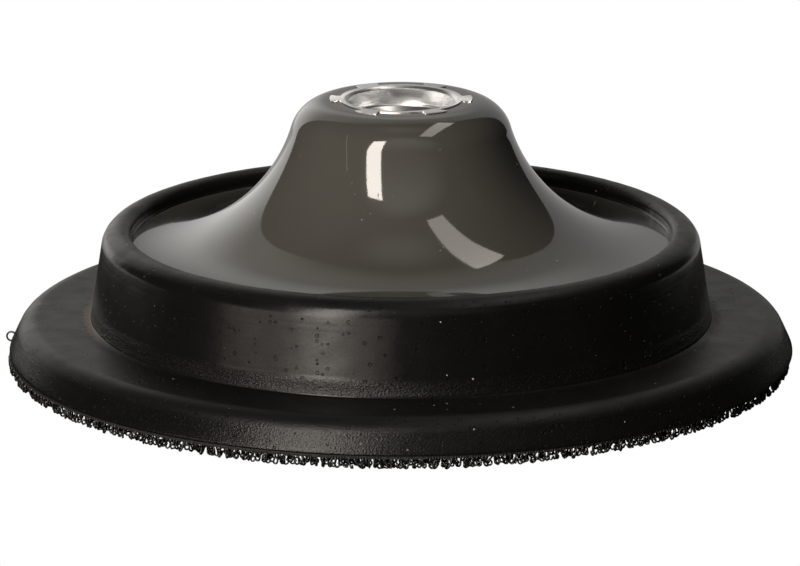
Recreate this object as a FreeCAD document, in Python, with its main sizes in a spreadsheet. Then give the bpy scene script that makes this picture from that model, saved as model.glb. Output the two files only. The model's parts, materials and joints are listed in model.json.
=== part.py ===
import FreeCAD, Part
import math
import os

import Sketcher

# A 125 mm backing pad for a rotary sander, polisher or angle grinder, in millimetres.
# +Z is the spindle axis, pointing at the machine. The origin is on that axis, at the tips of the
# hooks, so the pad stands on its hook face. Every height is measured from there.
SIZES = {
    # threaded insert: turned aluminium, M14 x 2
    "pad_height": 43,
    "insert_length": 20,
    "insert_radius": 9.72,
    "collar_radius": 8.5,
    "collar_depth": 2.95,
    "collar_chamfer": 0.45,
    "thread_minor_radius": 5.9175,
    "thread_relief_radius": 7.25,
    "groove_depth": 0.8,
    "groove_width": 2,
    "groove_height": 25,
    "lug_count": 6,
    "lug_length": 14,
    "lug_tip_radius": 11.3,
    "lug_root_radius": 9.2,
    "lug_root_half": 1.3,
    "lug_tip_half": 2.2,
    # hub: glass-filled nylon, moulded over the insert
    "insert_proud": 0.2,
    "shoulder_radius": 6.3,
    "flare_radius": 25.9,
    "flare_foot": 42.25,
    "brim_height": 19.85,
    "brim_radius": 46,
    "shell_thickness": 3.5,
    "boss_radius": 14.5,
    "well_radius": 7.5,
    "roof_height": 30,
    "rib_count": 6,
    "rib_thickness": 2.5,
    "rib_bottom": 18,
    "rib_top": 31.5,
    "rib_outer_low": 33,
    "rib_outer_high": 17,
    "rib_overlap": 1,
    # pad body: polyurethane, foamed round the hub
    "lip_crest_radius": 44.5,
    "lip_crest_height": 22.25,
    "lip_outer_round": 3.25,
    "lip_inner_round": 1.6,
    "lip_edge_angle": 16,
    "drum_foot_radius": 49.5,
    "flange_height": 7.65,
    "flange_top_radius": 57.95,
    "flange_round": 3.5,
    "flange_edge_angle": 25,
    "flange_edge_height": 2.75,
    "flange_radius": 62.5,
    # hook-and-loop facing, from the pad down to the tips of the hooks
    "film_thickness": 0.12,
    "weave_thickness": 0.33,
    "hook_height": 1.85,
    "facing_radius": 62.4,
}

LAYERS = {
    "adhesive_film": ("film_thickness", "Sizes.hook_height + Sizes.weave_thickness"),
    "hook_backing": ("weave_thickness", "Sizes.hook_height"),
    "hook_pile": ("hook_height", "0"),
}

doc = FreeCAD.newDocument("BackingPad")
sheet = doc.addObject("Spreadsheet::Sheet", "Sizes")
for row, (alias, value) in enumerate(SIZES.items(), start=1):
    sheet.set(f"A{row}", alias)
    sheet.set(f"B{row}", str(value))
    sheet.setAlias(f"B{row}", alias)
doc.recompute()


def value_of(expression):
    """The number that an expression on the sheet's sizes gives."""
    return float(sheet.evalExpression(expression))


def new_body(name):
    body = doc.addObject("PartDesign::Body", name)
    body.Label = name
    return body


def new_sketch(body, name, role, height=None):
    """A sketch on one of the body's own origin planes, lifted off it by an expression."""
    plane = next(item for item in body.Origin.OriginFeatures if item.Role == role)
    sketch = body.newObject("Sketcher::SketchObject", name)
    sketch.AttachmentSupport = (plane, [""])
    sketch.MapMode = "FlatFace"
    if height:
        sketch.setExpression("AttachmentOffset.Base.z", height)
    return sketch


def bind(sketch, kind, places, expression, label):
    """Add one driving constraint and bind it to an expression."""
    value = value_of(expression)
    if value < 0:
        places = places[2:] + places[:2]
        expression = f"-({expression})"
    sketch.addConstraint(Sketcher.Constraint(kind, *places, abs(value)))
    index = sketch.ConstraintCount - 1
    sketch.renameConstraint(index, label)
    sketch.setExpression(f"Constraints.{label}", expression)


def arc_between(start, end, radius, side):
    """The arc under half a turn from start to end, centred on its left (side 1) or right (side -1)."""
    chord = end - start
    rise = side * math.sqrt(radius**2 - (chord.Length / 2) ** 2)
    across = FreeCAD.Vector(-chord.y, chord.x, 0).normalize()
    centre = (start + end) / 2 + across * rise
    first, last = (start, end) if side > 0 else (end, start)
    from_angle = math.atan2(first.y - centre.y, first.x - centre.x)
    to_angle = math.atan2(last.y - centre.y, last.x - centre.x)
    circle = Part.Circle(centre, FreeCAD.Vector(0, 0, 1), radius)
    return Part.ArcOfCircle(circle, from_angle, to_angle)


def closed_outline(sketch, corners):
    """Draw a closed, fully constrained outline.

    Each corner is a pair of expressions, across and up. A corner that an arc leads to adds the
    arc's radius and the side its centre is on, 1 for the left and -1 for the right.
    """
    points = [FreeCAD.Vector(value_of(c[0]), value_of(c[1]), 0) for c in corners]
    ends = []
    for number, corner in enumerate(corners):
        start, end = points[number - 1], points[number]
        if len(corner) == 2:
            edge = sketch.addGeometry(Part.LineSegment(start, end), False)
            ends.append((edge, 1, 2))
        else:
            radius, side = corner[2:]
            curve = arc_between(start, end, value_of(radius), side)
            edge = sketch.addGeometry(curve, False)
            ends.append((edge, 1, 2) if side > 0 else (edge, 2, 1))
            sketch.addConstraint(Sketcher.Constraint("Radius", edge, value_of(radius)))
            sketch.renameConstraint(sketch.ConstraintCount - 1, f"round_{number}")
            sketch.setExpression(f"Constraints.round_{number}", radius)
    for number, corner in enumerate(corners):
        edge, _, last = ends[number]
        following, first, _ = ends[(number + 1) % len(ends)]
        sketch.addConstraint(Sketcher.Constraint("Coincident", edge, last, following, first))
        bind(sketch, "DistanceX", (-1, 1, edge, last), corner[0], f"across_{number}")
        bind(sketch, "DistanceY", (-1, 1, edge, last), corner[1], f"up_{number}")


def revolve(body, name, corners):
    """Turn an outline in the XZ plane once round the spindle axis."""
    sketch = new_sketch(body, f"{name}_section", "XZ_Plane")
    closed_outline(sketch, corners)
    turned = body.newObject("PartDesign::Revolution", name)
    turned.Profile = sketch
    turned.ReferenceAxis = (sketch, ["V_Axis"])
    turned.Angle = 360
    return turned


def repeat_round(body, name, feature, axis, count):
    """Repeat a feature evenly round the spindle axis."""
    pattern = body.newObject("PartDesign::PolarPattern", name)
    pattern.Originals = [feature]
    pattern.Axis = axis
    pattern.Angle = 360
    pattern.setExpression("Occurrences", count)
    body.Tip = pattern
    return pattern


# Heights and radii that follow from the driving sizes.
INSERT_BOTTOM = "Sizes.pad_height - Sizes.insert_length"
LEDGE = "Sizes.pad_height - Sizes.collar_depth"
RELIEF = "(Sizes.thread_relief_radius - Sizes.thread_minor_radius)"
HUB_TOP = "(Sizes.pad_height - Sizes.insert_proud)"
GROOVE_FLOOR = "Sizes.insert_radius - Sizes.groove_depth"
GROOVE_TOP = "Sizes.groove_height + Sizes.groove_width"
BRIM_UNDERSIDE = "Sizes.brim_height - Sizes.shell_thickness"
FACING = "Sizes.film_thickness + Sizes.weave_thickness + Sizes.hook_height"

# The flare is one large hollow arc, tangent to the brim at its foot and to the convex shoulder
# above. REACH is the distance between the two arcs' centres, DROP and SPAN its parts.
FLARE_CENTRE = "(Sizes.brim_height + Sizes.flare_radius)"
REACH = "(Sizes.flare_radius + Sizes.shoulder_radius)"
DROP = f"({FLARE_CENTRE} - {HUB_TOP} + Sizes.shoulder_radius)"
SPAN = f"sqrt({REACH} ^ 2 - {DROP} ^ 2)"


def lug_outline():
    """One dovetail lug on the +X side, wider at its tip, which is part of a circle."""
    tip = "sqrt(Sizes.lug_tip_radius ^ 2 - Sizes.lug_tip_half ^ 2)"
    return [
        ("Sizes.lug_root_radius", "Sizes.lug_root_half"),
        ("Sizes.lug_root_radius", "-Sizes.lug_root_half"),
        (tip, "-Sizes.lug_tip_half"),
        (tip, "Sizes.lug_tip_half", "Sizes.lug_tip_radius", 1),
    ]


def make_threaded_insert():
    """The M14 bush: a recess for the spindle's collar, the bore, and six lugs that key it in."""
    body = new_body("threaded_insert")
    mouth = "Sizes.collar_radius + Sizes.collar_chamfer"
    corners = [
        ("Sizes.insert_radius", "Sizes.pad_height"),
        (mouth, "Sizes.pad_height"),
        ("Sizes.collar_radius", "Sizes.pad_height - Sizes.collar_chamfer"),
        ("Sizes.collar_radius", LEDGE),
        ("Sizes.thread_relief_radius", LEDGE),
        ("Sizes.thread_minor_radius", f"{LEDGE} - {RELIEF}"),
        ("Sizes.thread_minor_radius", f"{INSERT_BOTTOM} + {RELIEF}"),
        ("Sizes.thread_relief_radius", INSERT_BOTTOM),
        ("Sizes.insert_radius", INSERT_BOTTOM),
        ("Sizes.insert_radius", "Sizes.groove_height"),
        (GROOVE_FLOOR, "Sizes.groove_height"),
        (GROOVE_FLOOR, GROOVE_TOP),
        ("Sizes.insert_radius", GROOVE_TOP),
    ]
    revolve(body, "bush", corners)
    sketch = new_sketch(body, "lug_section", "XY_Plane", "Sizes.pad_height")
    closed_outline(sketch, lug_outline())
    lug = body.newObject("PartDesign::Pad", "lug")
    lug.Profile = sketch
    lug.setExpression("Length", "Sizes.lug_length")
    lug.Reversed = True
    repeat_round(body, "lugs", lug, (sketch, ["N_Axis"]), "Sizes.lug_count")
    return body


def make_hub():
    """The flared nylon shell, with its boss round the insert and the ribs inside it."""
    body = new_body("hub")
    tangent_across = f"Sizes.flare_foot - Sizes.flare_radius * {SPAN} / {REACH}"
    tangent_up = f"{FLARE_CENTRE} - Sizes.flare_radius * {DROP} / {REACH}"
    inner_flare = "(Sizes.flare_radius + Sizes.shell_thickness)"
    roof_drop = f"({FLARE_CENTRE} - Sizes.roof_height)"
    roof_edge = f"Sizes.flare_foot - sqrt({inner_flare} ^ 2 - {roof_drop} ^ 2)"
    corners = [
        ("Sizes.insert_radius", HUB_TOP),
        (f"Sizes.flare_foot - {SPAN}", HUB_TOP),
        (tangent_across, tangent_up, "Sizes.shoulder_radius", -1),
        ("Sizes.flare_foot", "Sizes.brim_height", "Sizes.flare_radius", 1),
        ("Sizes.brim_radius", "Sizes.brim_height"),
        ("Sizes.brim_radius", BRIM_UNDERSIDE),
        ("Sizes.flare_foot", BRIM_UNDERSIDE),
        (roof_edge, "Sizes.roof_height", inner_flare, -1),
        ("Sizes.boss_radius", "Sizes.roof_height"),
        ("Sizes.boss_radius", BRIM_UNDERSIDE),
        ("Sizes.well_radius", BRIM_UNDERSIDE),
        ("Sizes.well_radius", INSERT_BOTTOM),
        ("Sizes.insert_radius", INSERT_BOTTOM),
        ("Sizes.insert_radius", "Sizes.groove_height"),
        (GROOVE_FLOOR, "Sizes.groove_height"),
        (GROOVE_FLOOR, GROOVE_TOP),
        ("Sizes.insert_radius", GROOVE_TOP),
    ]
    shell = revolve(body, "shell", corners)

    sketch = new_sketch(body, "lug_seat_section", "XY_Plane", HUB_TOP)
    closed_outline(sketch, lug_outline())
    seat = body.newObject("PartDesign::Pocket", "lug_seat")
    seat.Profile = sketch
    seat.setExpression("Length", "Sizes.lug_length - Sizes.insert_proud")
    seats = repeat_round(body, "lug_seats", seat, (sketch, ["N_Axis"]), "Sizes.lug_count")

    sketch = new_sketch(body, "rib_section", "XZ_Plane")
    rib_inner = "Sizes.boss_radius - Sizes.rib_overlap"
    closed_outline(
        sketch,
        [
            (rib_inner, "Sizes.rib_bottom"),
            ("Sizes.rib_outer_low", "Sizes.rib_bottom"),
            ("Sizes.rib_outer_high", "Sizes.rib_top"),
            (rib_inner, "Sizes.rib_top"),
        ],
    )
    rib = body.newObject("PartDesign::Pad", "rib")
    rib.Profile = sketch
    rib.SideType = "Symmetric"
    rib.setExpression("Length", "Sizes.rib_thickness")
    repeat_round(body, "ribs", rib, (sketch, ["V_Axis"]), "Sizes.rib_count")
    return body, shell, seats


def make_pad_body(hub):
    """The stepped polyurethane pad. It is drawn into the hub's walls, then cut by the hub."""
    blank = new_body("pad_blank")
    lip_drop = "Sizes.lip_outer_round * (1 - sin(Sizes.lip_edge_angle))"
    lip_edge = "Sizes.lip_crest_radius + Sizes.lip_outer_round * cos(Sizes.lip_edge_angle)"
    flange_drop = "Sizes.flange_round * (1 - sin(Sizes.flange_edge_angle))"
    flange_edge = "Sizes.flange_top_radius + Sizes.flange_round * cos(Sizes.flange_edge_angle)"
    lip_inside = "Sizes.lip_crest_radius - Sizes.lip_inner_round"
    mid_wall = "(Sizes.flare_radius + Sizes.shell_thickness / 2)"
    mid_brim = "Sizes.brim_height - Sizes.shell_thickness / 2"
    inside_boss = "Sizes.boss_radius - Sizes.rib_overlap"
    crown = "(Sizes.roof_height + Sizes.rib_top) / 2"
    wall_at_crown = f"Sizes.flare_foot - sqrt({mid_wall} ^ 2 - ({FLARE_CENTRE} - {crown}) ^ 2)"
    core_top = f"{BRIM_UNDERSIDE} + Sizes.rib_overlap"
    corners = [
        ("Sizes.well_radius", FACING),
        ("Sizes.flange_radius", FACING),
        ("Sizes.flange_radius", "Sizes.flange_edge_height"),
        (flange_edge, f"Sizes.flange_height - {flange_drop}"),
        ("Sizes.flange_top_radius", "Sizes.flange_height", "Sizes.flange_round", 1),
        ("Sizes.drum_foot_radius", "Sizes.flange_height"),
        (lip_edge, f"Sizes.lip_crest_height - {lip_drop}"),
        ("Sizes.lip_crest_radius", "Sizes.lip_crest_height", "Sizes.lip_outer_round", 1),
        (lip_inside, "Sizes.lip_crest_height - Sizes.lip_inner_round", "Sizes.lip_inner_round", 1),
        (lip_inside, mid_brim),
        (wall_at_crown, crown, mid_wall, -1),
        (inside_boss, crown),
        (inside_boss, core_top),
        ("Sizes.well_radius", core_top),
    ]
    revolve(blank, "pad_section", corners)
    pad = doc.addObject("Part::Cut", "pad_body")
    pad.Label = "pad_body"
    pad.Base = blank
    pad.Tool = hub
    return pad


def make_layer(name, thickness, height):
    """One ring of the facing, with the pad's centre hole through it."""
    body = new_body(name)
    sketch = new_sketch(body, f"{name}_ring", "XY_Plane")
    for number, radius in enumerate(("facing_radius", "well_radius")):
        circle = Part.Circle(FreeCAD.Vector(), FreeCAD.Vector(0, 0, 1), SIZES[radius])
        edge = sketch.addGeometry(circle, False)
        sketch.addConstraint(Sketcher.Constraint("Coincident", edge, 3, -1, 1))
        sketch.addConstraint(Sketcher.Constraint("Radius", edge, SIZES[radius]))
        sketch.renameConstraint(sketch.ConstraintCount - 1, f"ring_{number}")
        sketch.setExpression(f"Constraints.ring_{number}", f"Sizes.{radius}")
    ring = body.newObject("PartDesign::Pad", f"{name}_disc")
    ring.Profile = sketch
    ring.setExpression("Length", f"Sizes.{thickness}")
    body.setExpression("Placement.Base.z", height)
    return body


threaded_insert = make_threaded_insert()
hub, shell, seats = make_hub()
pad_body = make_pad_body(hub)
sub_parts = [threaded_insert, hub, pad_body]
sub_parts += [make_layer(name, *layer) for name, layer in LAYERS.items()]
doc.recompute()

failed = [item.Name for item in doc.Objects if {"Invalid", "Error"} & set(item.State)]
if failed:
    raise RuntimeError(f"these objects failed: {failed}")
if seats.Shape.Volume >= shell.Shape.Volume:
    raise RuntimeError("the lug seats cut nothing from the hub")
for item in sub_parts:
    shape = item.Shape
    if shape.isNull() or not shape.isValid() or len(shape.Solids) != 1:
        raise RuntimeError(f"{item.Label} is not one valid solid")

os.makedirs("parts", exist_ok=True)
for item in sub_parts:
    item.Shape.exportStep(f"parts/{item.Label}.step")
    box = item.Shape.optimalBoundingBox()
    print(f"{item.Label}: {item.Shape.Volume:.0f} mm3, z {box.ZMin:.2f} to {box.ZMax:.2f}")
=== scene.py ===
import json
import math

import bpy
import numpy as np
from mathutils import Matrix, Vector, noise


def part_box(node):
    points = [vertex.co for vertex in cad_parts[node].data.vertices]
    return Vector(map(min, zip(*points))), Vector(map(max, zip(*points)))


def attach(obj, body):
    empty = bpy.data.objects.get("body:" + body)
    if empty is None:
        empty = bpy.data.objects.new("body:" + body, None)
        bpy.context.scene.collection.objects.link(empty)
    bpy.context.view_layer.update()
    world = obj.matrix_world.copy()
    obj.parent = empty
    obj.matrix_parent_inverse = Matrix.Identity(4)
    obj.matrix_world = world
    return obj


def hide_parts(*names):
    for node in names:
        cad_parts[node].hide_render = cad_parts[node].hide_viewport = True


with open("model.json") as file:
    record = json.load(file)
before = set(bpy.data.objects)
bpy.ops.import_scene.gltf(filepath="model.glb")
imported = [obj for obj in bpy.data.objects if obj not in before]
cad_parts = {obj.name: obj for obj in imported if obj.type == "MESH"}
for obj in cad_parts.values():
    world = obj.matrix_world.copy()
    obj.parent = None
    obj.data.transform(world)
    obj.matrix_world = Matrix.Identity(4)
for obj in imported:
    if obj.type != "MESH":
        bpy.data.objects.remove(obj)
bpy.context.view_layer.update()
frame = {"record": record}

MM = 0.001
TURN = 2 * math.pi
SEED = 7

# ---------------------------------------------------------------------------------------------
# Sizes, read from the frame where it has them, and otherwise in metres
# ---------------------------------------------------------------------------------------------

INSERT_LOW, INSERT_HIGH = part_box("threaded_insert")
HUB_LOW, HUB_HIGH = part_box("hub")
PAD_LOW, PAD_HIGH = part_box("pad_body")
FILM_LOW, FILM_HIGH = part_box("adhesive_film")
WEAVE_LOW, WEAVE_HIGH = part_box("hook_backing")
PILE_LOW, PILE_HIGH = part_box("hook_pile")

BORES = {mount["name"]: mount for mount in frame["record"]["mounts"]}
THREAD_MINOR = BORES["spindle_thread"]["dims"]["r_mm"] * MM
COLLAR_RADIUS = BORES["collar_recess"]["dims"]["r_mm"] * MM
THREAD_MAJOR = 7.0 * MM
THREAD_PITCH = 2.0 * MM
THREAD_RELIEF = 7.25 * MM
THREAD_CREST, THREAD_ROOT = 0.25, 0.875
COLLAR_DEPTH = 2.95 * MM
COLLAR_CHAMFER = 0.45 * MM
INSERT_RADIUS = 9.72 * MM
GROOVE_HEIGHT = 25 * MM
GROOVE_WIDTH = 2 * MM
GROOVE_DEPTH = 0.8 * MM

LUG_COUNT = 6
LUG_LENGTH = 14 * MM
LUG_TIP_RADIUS = INSERT_HIGH.x
LUG_ROOT_HALF = 1.3 * MM
LUG_TIP_HALF = 2.2 * MM

SHOULDER_ROUND = 6.3 * MM
FLARE_ROUND = 25.9 * MM
FLARE_FOOT = 42.25 * MM
BRIM_RADIUS = HUB_HIGH.x
BRIM_HEIGHT = HUB_LOW.z + 3.5 * MM
SHELL = 3.5 * MM
BOSS_RADIUS = 14.5 * MM
WELL_RADIUS = 7.5 * MM
ROOF_HEIGHT = 30 * MM
SEAT_GAP = 0.03 * MM

LIP_CREST = 44.5 * MM
LIP_HEIGHT = 22.25 * MM
LIP_OUTER_ROUND = 3.25 * MM
LIP_INNER_ROUND = 1.6 * MM
LIP_EDGE_ANGLE = math.radians(16)
DRUM_FOOT = 49.5 * MM
FLANGE_HEIGHT = 7.65 * MM
FLANGE_TOP_RADIUS = 57.95 * MM
FLANGE_ROUND = 3.5 * MM
FLANGE_EDGE_ANGLE = math.radians(25)
FLANGE_EDGE_HEIGHT = 2.75 * MM
FLANGE_RADIUS = PAD_HIGH.x


# ---------------------------------------------------------------------------------------------
# Outlines and meshes
# ---------------------------------------------------------------------------------------------


def arc(centre, radius, start, end, steps):
    """Points on an arc, with its angles in degrees from the outward direction."""
    angles = np.radians(np.linspace(start, end, steps + 1))
    return [(centre[0] + radius * math.cos(a), centre[1] + radius * math.sin(a)) for a in angles]


def spaced(points, longest):
    """The same closed outline with points added so that no step is longer than this."""
    out = []
    for number, point in enumerate(points):
        after = points[(number + 1) % len(points)]
        count = max(1, math.ceil(math.dist(point, after) / longest))
        for step in range(count):
            share = step / count
            out.append(tuple(a + (b - a) * share for a, b in zip(point, after)))
    return out


def new_object(name, points, faces):
    mesh = bpy.data.meshes.new(name)
    mesh.from_pydata(points, [], faces)
    made = bpy.data.objects.new(name, mesh)
    bpy.context.scene.collection.objects.link(made)
    return made


def mesh_piece(name, points, faces, smooth_angle):
    """A mesh object with outward faces, smooth except across edges sharper than the angle."""
    piece = new_object(name, [tuple(p) for p in points], faces)
    piece.data.validate()
    bpy.context.view_layer.objects.active = piece
    piece.select_set(True)
    bpy.ops.object.mode_set(mode="EDIT")
    bpy.ops.mesh.select_all(action="SELECT")
    bpy.ops.mesh.normals_make_consistent(inside=False)
    bpy.ops.object.mode_set(mode="OBJECT")
    bpy.ops.object.shade_smooth_by_angle(angle=math.radians(smooth_angle))
    piece.select_set(False)
    return piece


def stack_faces(loops, around):
    """Quads between each closed loop of points and the next, and from the last to the first."""
    faces = []
    for loop in range(loops):
        low, high = loop * around, (loop + 1) % loops * around
        for step in range(around):
            after = (step + 1) % around
            faces.append((low + step, low + after, high + after, high + step))
    return faces


def turned_piece(name, outline, around, wobble, smooth_angle=35):
    """A closed outline of (radius, height) turned round the axis, each point moved by wobble."""
    points = []
    for radius, height in outline:
        for step in range(around):
            angle = TURN * step / around
            r, z = wobble(angle, radius, height)
            points.append((r * math.cos(angle), r * math.sin(angle), z))
    return mesh_piece(name, points, stack_faces(len(outline), around), smooth_angle)


def soft_noise(angle, radius, height, size, seed):
    """Smooth noise from -1 to 1 on a surface of revolution, with features about this size."""
    place = Vector((radius * math.cos(angle), radius * math.sin(angle), height)) / size
    return noise.noise(place + Vector((seed * 17.3, seed * 5.1, 0)))


# ---------------------------------------------------------------------------------------------
# Shader node groups and materials
# ---------------------------------------------------------------------------------------------


def add(tree, kind, values=None, **settings):
    """Add a node, set its properties, and fill its inputs from values or links."""
    made = tree.nodes.new("ShaderNode" + kind)
    for key, setting in settings.items():
        setattr(made, key, setting)
    for key, value in (values or {}).items():
        socket = made.inputs[key]
        if isinstance(value, bpy.types.NodeSocket):
            tree.links.new(value, socket)
        else:
            socket.default_value = value
    return made


def new_group(name, inputs, output):
    """A shader node group with inputs, as {name: default}, and one value put out."""
    tree = bpy.data.node_groups.new(name, "ShaderNodeTree")
    for key, default in inputs.items():
        kind = "NodeSocketVector" if default is None else "NodeSocketFloat"
        socket = tree.interface.new_socket(key, in_out="INPUT", socket_type=kind)
        if default is not None:
            socket.default_value = default
    tree.interface.new_socket(output, in_out="OUTPUT", socket_type="NodeSocketFloat")
    entry = tree.nodes.new("NodeGroupInput")
    leave = tree.nodes.new("NodeGroupOutput")
    return tree, entry.outputs, leave.inputs[output]


def threshold(tree, value, low, high):
    """A 0 to 1 mask that rises as value goes from low to high."""
    made = add(tree, "MapRange", {"Value": value, "From Min": low, "From Max": high})
    made.interpolation_type = "SMOOTHSTEP"
    return made.outputs["Result"]


def maths(tree, operation, first, second=0.0):
    return add(tree, "Math", {0: first, 1: second}, operation=operation).outputs[0]


def times(tree, first, second):
    return maths(tree, "MULTIPLY", first, second)


def plus(tree, first, second):
    return maths(tree, "ADD", first, second)


def minus(tree, first, second):
    return maths(tree, "SUBTRACT", first, second)


def noise_at(tree, place, scale, detail):
    """Cloudy noise from 0 to 1."""
    return add(tree, "TexNoise", {"Vector": place, "Scale": scale, "Detail": detail}).outputs["Fac"]


def axis_distance(tree, place):
    """How far a place is from the spindle axis."""
    flat = add(tree, "VectorMath", {0: place, 1: (1, 1, 0)}, operation="MULTIPLY")
    return add(tree, "VectorMath", {0: flat.outputs["Vector"]}, operation="LENGTH").outputs["Value"]


def make_dust_group():
    """Sparse specks of pale dust, as a mask."""
    inputs = {"Place": None, "Scale": 900.0, "Amount": 0.5}
    tree, given, out = new_group("dust", inputs, "Mask")
    cells = add(tree, "TexVoronoi", {"Vector": given["Place"], "Scale": given["Scale"]})
    chance = add(tree, "SeparateColor", {"Color": cells.outputs["Color"]})
    chosen = threshold(tree, chance.outputs["Red"], 0.94, 0.96)
    size = times(tree, chance.outputs["Green"], 0.22)
    speck = times(tree, maths(tree, "LESS_THAN", cells.outputs["Distance"], size), chosen)
    area = threshold(tree, noise_at(tree, given["Place"], 70.0, 2.0), 0.42, 0.6)
    tree.links.new(times(tree, times(tree, speck, area), given["Amount"]), out)
    return tree


def make_ring_marks_group():
    """Fine marks that run round the spindle axis, as a cutter or a turned mould leaves them."""
    inputs = {"Place": None, "Scale": 3000.0, "Breaks": 0.3}
    tree, given, out = new_group("ring_marks", inputs, "Height")
    parts = add(tree, "SeparateXYZ", {"Vector": given["Place"]}).outputs
    square_x, square_y = times(tree, parts["X"], parts["X"]), times(tree, parts["Y"], parts["Y"])
    radius = maths(tree, "SQRT", plus(tree, square_x, square_y))
    section = add(tree, "CombineXYZ", {"X": radius, "Z": parts["Z"]})
    lines = noise_at(tree, section.outputs["Vector"], given["Scale"], 3.0)
    gaps = noise_at(tree, given["Place"], 260.0, 3.0)
    tree.links.new(plus(tree, lines, times(tree, gaps, given["Breaks"])), out)
    return tree


def make_pits_group():
    """Small round pits, as bubbles leave them in a moulded skin, as a height that falls to 0."""
    inputs = {"Place": None, "Scale": 700.0, "Share": 0.1}
    tree, given, out = new_group("pits", inputs, "Height")
    cells = add(tree, "TexVoronoi", {"Vector": given["Place"], "Scale": given["Scale"]})
    chance = add(tree, "SeparateColor", {"Color": cells.outputs["Color"]})
    chosen = maths(tree, "LESS_THAN", chance.outputs["Red"], given["Share"])
    size = times(tree, chance.outputs["Blue"], 0.34)
    bowl = threshold(tree, minus(tree, cells.outputs["Distance"], size), 0.0, 0.12)
    depth = times(tree, minus(tree, 1.0, bowl), chosen)
    tree.links.new(minus(tree, 1.0, depth), out)
    return tree


def make_scratches_group():
    """Hairline scratches that run mostly up and down, as a mask."""
    inputs = {"Place": None, "Scale": 900.0, "Amount": 0.5}
    tree, given, out = new_group("scratches", inputs, "Mask")
    stretch = {"Vector": given["Place"], "Scale": (1.0, 1.0, 0.035), "Rotation": (0.05, 0.08, 0.0)}
    stretched = add(tree, "Mapping", stretch).outputs["Vector"]
    thin = threshold(tree, noise_at(tree, stretched, given["Scale"], 1.0), 0.72, 0.76)
    area = threshold(tree, noise_at(tree, given["Place"], 60.0, 1.0), 0.55, 0.68)
    tree.links.new(times(tree, times(tree, thin, area), given["Amount"]), out)
    return tree


def make_mottle_group():
    """Cloudy variation about 1, to multiply a colour or a roughness by."""
    inputs = {"Place": None, "Scale": 90.0, "Strength": 0.2}
    tree, given, out = new_group("mottle", inputs, "Factor")
    swing = minus(tree, noise_at(tree, given["Place"], given["Scale"], 5.0), 0.5)
    swing = times(tree, times(tree, swing, 2.0), given["Strength"])
    tree.links.new(plus(tree, swing, 1.0), out)
    return tree


def make_streak_group():
    """One short ragged line up a surface of revolution, at an angle round the axis, as a mask."""
    inputs = {"Place": None, "Angle": 0.0, "Slant": 0.0, "Low": 0.0, "High": 0.01}
    inputs.update({"Width": 0.0001, "Wander": 0.0005})
    tree, given, out = new_group("streak", inputs, "Mask")
    parts = add(tree, "SeparateXYZ", {"Vector": given["Place"]}).outputs
    angle = maths(tree, "ARCTAN2", parts["Y"], parts["X"])
    slanted = plus(tree, given["Angle"], times(tree, parts["Z"], given["Slant"]))
    away = times(tree, minus(tree, angle, slanted), axis_distance(tree, given["Place"]))
    shake = minus(tree, noise_at(tree, given["Place"], 420.0, 3.0), 0.5)
    away = maths(tree, "ABSOLUTE", plus(tree, away, times(tree, shake, given["Wander"])))
    line = maths(tree, "LESS_THAN", away, given["Width"])
    above = maths(tree, "GREATER_THAN", parts["Z"], given["Low"])
    below = maths(tree, "LESS_THAN", parts["Z"], given["High"])
    tree.links.new(times(tree, line, times(tree, above, below)), out)
    return tree


def make_residue_group():
    """Pale dried residue in the corner at the drum's foot, along part of the way round."""
    inputs = {"Place": None, "Side": 1.0, "Middle": 0.0, "Reach": 0.5, "Amount": 1.0}
    tree, given, out = new_group("residue", inputs, "Mask")
    parts = add(tree, "SeparateXYZ", {"Vector": given["Place"]}).outputs
    ragged = times(tree, minus(tree, noise_at(tree, given["Place"], 900.0, 4.0), 0.5), 3.4 * MM)
    radius = plus(tree, axis_distance(tree, given["Place"]), ragged)
    band = threshold(tree, radius, DRUM_FOOT + 1.9 * MM, DRUM_FOOT + 0.7 * MM)
    low = maths(tree, "LESS_THAN", parts["Z"], FLANGE_HEIGHT + 0.25 * MM)
    sideways, deep = times(tree, parts["X"], given["Side"]), times(tree, parts["Y"], given["Side"])
    angle = maths(tree, "ARCTAN2", deep, sideways)
    off = maths(tree, "ABSOLUTE", minus(tree, angle, given["Middle"]))
    reach = threshold(tree, off, given["Reach"], times(tree, given["Reach"], 0.4))
    mask = times(tree, times(tree, band, low), reach)
    tree.links.new(times(tree, mask, given["Amount"]), out)
    return tree


DUST = make_dust_group()
STREAK = make_streak_group()
RESIDUE = make_residue_group()
RING_MARKS = make_ring_marks_group()
PITS = make_pits_group()
SCRATCHES = make_scratches_group()
MOTTLE = make_mottle_group()


def new_material(name, **settings):
    """A material with a Principled shader, and the place on the surface that patterns follow."""
    material = bpy.data.materials.new(name)
    material.use_nodes = True
    tree = material.node_tree
    shader = tree.nodes["Principled BSDF"]
    for key, value in settings.items():
        shader.inputs[key.replace("_", " ")].default_value = value
    place = add(tree, "TexCoord").outputs["Object"]
    return material, tree, shader, place


def connect(tree, shader, **sources):
    """Link what varies over the surface to the shader."""
    for key, source in sources.items():
        tree.links.new(source, shader.inputs[key.replace("_", " ")])


def use(tree, group, **values):
    """Place a node group with its own values and give its output."""
    return add(tree, "Group", values, node_tree=group).outputs[0]


def mix_colours(tree, share, first, second):
    return add(tree, "Mix", {0: share, 6: first, 7: second}, data_type="RGBA").outputs[2]


def tinted(tree, colour, factor):
    """A colour multiplied by a varying factor."""
    return add(tree, "VectorMath", {0: colour, "Scale": factor}, operation="SCALE").outputs["Vector"]


def bump(tree, height, distance, strength=1.0, under=None):
    values = {"Height": height, "Distance": distance, "Strength": strength}
    if under is not None:
        values["Normal"] = under
    return add(tree, "Bump", values).outputs["Normal"]


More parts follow.
